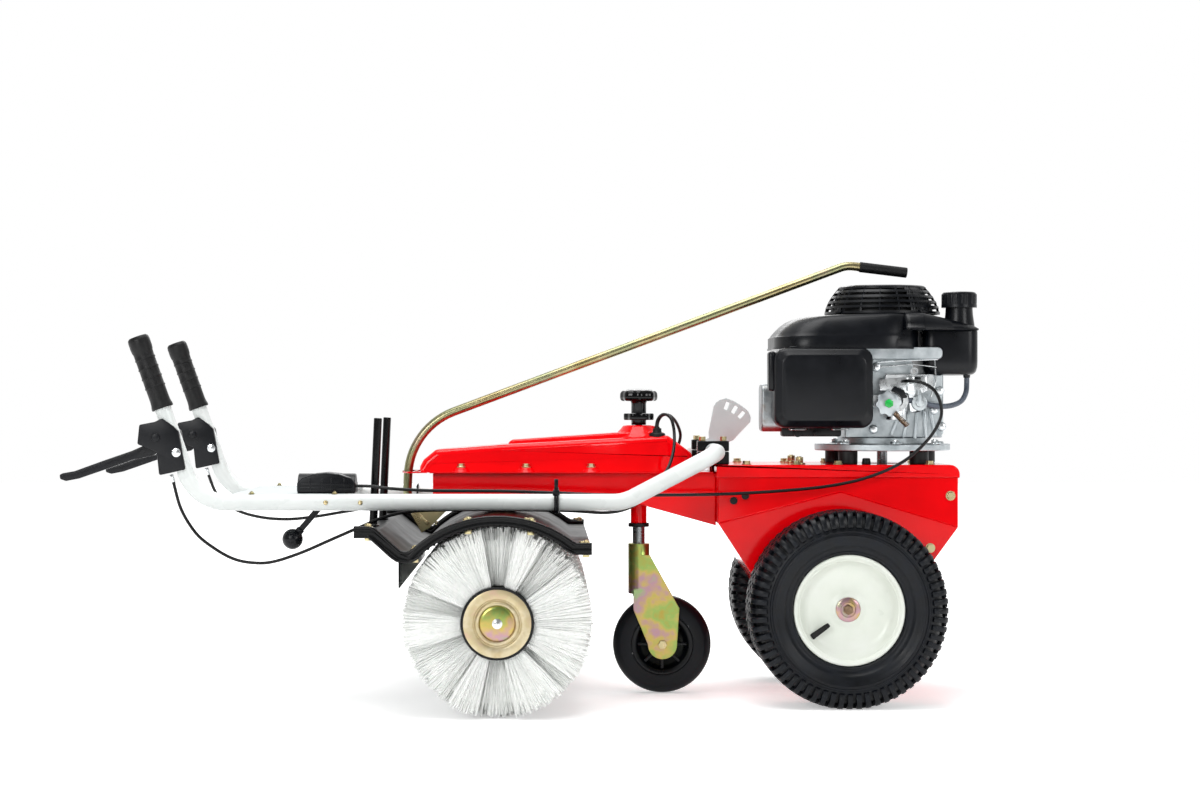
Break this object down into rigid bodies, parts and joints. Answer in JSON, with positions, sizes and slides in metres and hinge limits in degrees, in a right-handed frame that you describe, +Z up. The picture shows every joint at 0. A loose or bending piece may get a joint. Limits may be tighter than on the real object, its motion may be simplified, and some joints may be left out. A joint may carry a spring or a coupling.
{
  "type": "power brush sweeper",
  "caption": "Walk-behind power brush sweeper: engine deck on two drive wheels, front arm with a hooded roller brush, height-set caster and a fold-over handlebar.",
  "frame": {"origin": "on the floor, below the middle of the machine", "axes": "+X from the brush towards the engine, +Y to the machine's right, +Z up"},
  "size_m": [1.8836, 1.01, 0.9155],
  "materials": {
    "red_paint": "gloss enamel",
    "white_paint": "gloss powder coat",
    "rim_paint": "satin off-white enamel",
    "black_paint": "gloss black powder coat",
    "tyre_rubber": "matt moulded rubber",
    "black_rubber": "matt",
    "black_plastic": "satin moulded",
    "yellow_zinc": "yellow passivated zinc",
    "cast_aluminium": "sand cast",
    "bare_steel": "turned steel",
    "bristle": "drawn polypropylene",
    "grey_hose": "matt",
    "cable_sheath": "smooth sheath"
  },
  "bodies": {
    "chassis": {"chassis_housing": "red_paint", "deck_plate": "red_paint", "front_arm": "red_paint", "arm_cover": "red_paint", "chassis_bolts": "yellow_zinc", "rubber_seals": "black_rubber", "caster_socket": "red_paint", "handle_clamps": "black_paint", "engine_mounts": "black_rubber", "crankcase": "cast_aluminium", "engine_shroud": "black_plastic", "starter_grille": "black_plastic", "fuel_tank": "black_plastic", "air_cleaner": "black_plastic", "carburettor": "cast_aluminium", "muffler": "bare_steel", "fuel_hose": "grey_hose", "transaxle": "cast_aluminium", "drive_belt": "black_rubber", "clutch_cable_left": "cable_sheath", "clutch_cable_right": "cable_sheath", "throttle_cable": "cable_sheath"},
    "crank": {"crankshaft": "bare_steel", "flywheel": "cast_aluminium"},
    "fuel_cap": {"fuel_cap": "black_plastic"},
    "left_wheel": {"left_tyre": "tyre_rubber", "left_rim": "rim_paint", "left_axle": "yellow_zinc"},
    "right_wheel": {"right_tyre": "tyre_rubber", "right_rim": "rim_paint", "right_axle": "yellow_zinc"},
    "caster_stem": {"caster_stem": "bare_steel"},
    "caster_fork": {"caster_fork": "yellow_zinc", "caster_axle": "yellow_zinc"},
    "caster_wheel": {"caster_rim": "black_plastic", "caster_tyre": "tyre_rubber"},
    "height_knob": {"height_knob": "black_plastic"},
    "lock_nut": {"lock_nut": "black_plastic"},
    "handle": {"left_handle_tube": "white_paint", "right_handle_tube": "white_paint", "cross_tube": "white_paint", "cross_panel": "white_paint", "handle_grips": "black_rubber", "lever_brackets": "black_plastic", "control_box": "black_plastic"},
    "left_lever": {"left_lever": "black_plastic"},
    "right_lever": {"right_lever": "black_plastic"},
    "throttle_lever": {"throttle_lever": "black_plastic"},
    "brush_head": {"brush_gearbox": "black_paint", "hood_skin": "black_paint", "hood_frame": "black_paint", "hood_bolts": "yellow_zinc", "swivel_lever": "yellow_zinc", "swivel_grip": "black_rubber", "swivel_bracket": "yellow_zinc"},
    "brush_drive": {"brush_drive": "bare_steel"},
    "brush": {"brush_shaft": "bare_steel", "brush_cores": "black_plastic", "end_discs": "yellow_zinc", "bristles": "bristle"}
  },
  "joints": [
    {"name": "left_wheel_spin", "type": "hinge", "parent": "chassis", "child": "left_wheel", "pos_m": [0.645, -0.24, 0.198], "axis": [0, 1, 0], "continuous": true},
    {"name": "right_wheel_spin", "type": "hinge", "parent": "chassis", "child": "right_wheel", "pos_m": [0.645, 0.24, 0.198], "axis": [0, 1, 0], "continuous": true},
    {"name": "brush_swivel", "type": "hinge", "parent": "chassis", "child": "brush_head", "pos_m": [-0.059, 0, 0.4035], "axis": [0, 0, 1], "range_deg": [-15, 15], "deforming": ["clutch_cable_left", "clutch_cable_right", "throttle_cable"]},
    {"name": "brush_spin", "type": "hinge", "parent": "brush_head", "child": "brush", "pos_m": [-0.059, 0, 0.188], "axis": [0, 1, 0], "continuous": true},
    {"name": "brush_drive_spin", "type": "hinge", "parent": "brush_head", "child": "brush_drive", "pos_m": [-0.059, 0, 0.35], "axis": [0, 0, 1], "continuous": true},
    {"name": "knob_turn", "type": "hinge", "parent": "chassis", "child": "height_knob", "pos_m": [0.233, 0, 0.6], "axis": [0, 0, 1], "range_deg": [-2160, 1080]},
    {"name": "lock_nut_turn", "type": "hinge", "parent": "chassis", "child": "lock_nut", "pos_m": [0.233, 0, 0.585], "axis": [0, 0, 1], "range_deg": [0, 120]},
    {"name": "caster_height", "type": "slide", "parent": "chassis", "child": "caster_stem", "axis": [0, 0, 1], "range_m": [-0.0121, 0.0241]},
    {"name": "caster_swivel", "type": "hinge", "parent": "caster_stem", "child": "caster_fork", "pos_m": [0.233, 0, 0.26], "axis": [0, 0, 1], "range_deg": [-90, 90]},
    {"name": "caster_spin", "type": "hinge", "parent": "caster_fork", "child": "caster_wheel", "pos_m": [0.282, 0, 0.104], "axis": [0, 1, 0], "continuous": true},
    {"name": "handle_fold", "type": "hinge", "parent": "chassis", "child": "handle", "pos_m": [0.384, 0, 0.514], "axis": [0, 1, 0], "range_deg": [0, 150], "deforming": ["clutch_cable_left", "clutch_cable_right", "throttle_cable"]},
    {"name": "left_lever_press", "type": "hinge", "parent": "handle", "child": "left_lever", "pos_m": [-0.7506, -0.262, 0.5452], "axis": [0, 1, 0], "range_deg": [0, 55], "stiffness_Nm_per_rad": 1.5},
    {"name": "right_lever_press", "type": "hinge", "parent": "handle", "child": "right_lever", "pos_m": [-0.7506, 0.262, 0.5452], "axis": [0, 1, 0], "range_deg": [0, 55], "stiffness_Nm_per_rad": 1.5},
    {"name": "throttle_set", "type": "hinge", "parent": "handle", "child": "throttle_lever", "pos_m": [-0.415, -0.205, 0.416], "axis": [0, 1, 0], "range_deg": [-45, 0]},
    {"name": "fuel_cap_turn", "type": "hinge", "parent": "chassis", "child": "fuel_cap", "pos_m": [0.905, -0.06, 0.84], "axis": [0, 0, 1], "range_deg": [0, 90]},
    {"name": "crank_spin", "type": "hinge", "parent": "chassis", "child": "crank", "pos_m": [0.751, 0, 0.6], "axis": [0, 0, 1], "continuous": true}
  ],
  "couplings": [
    {"joint": "brush_drive_spin", "follows": "brush_spin", "ratio": -2}
  ]
}
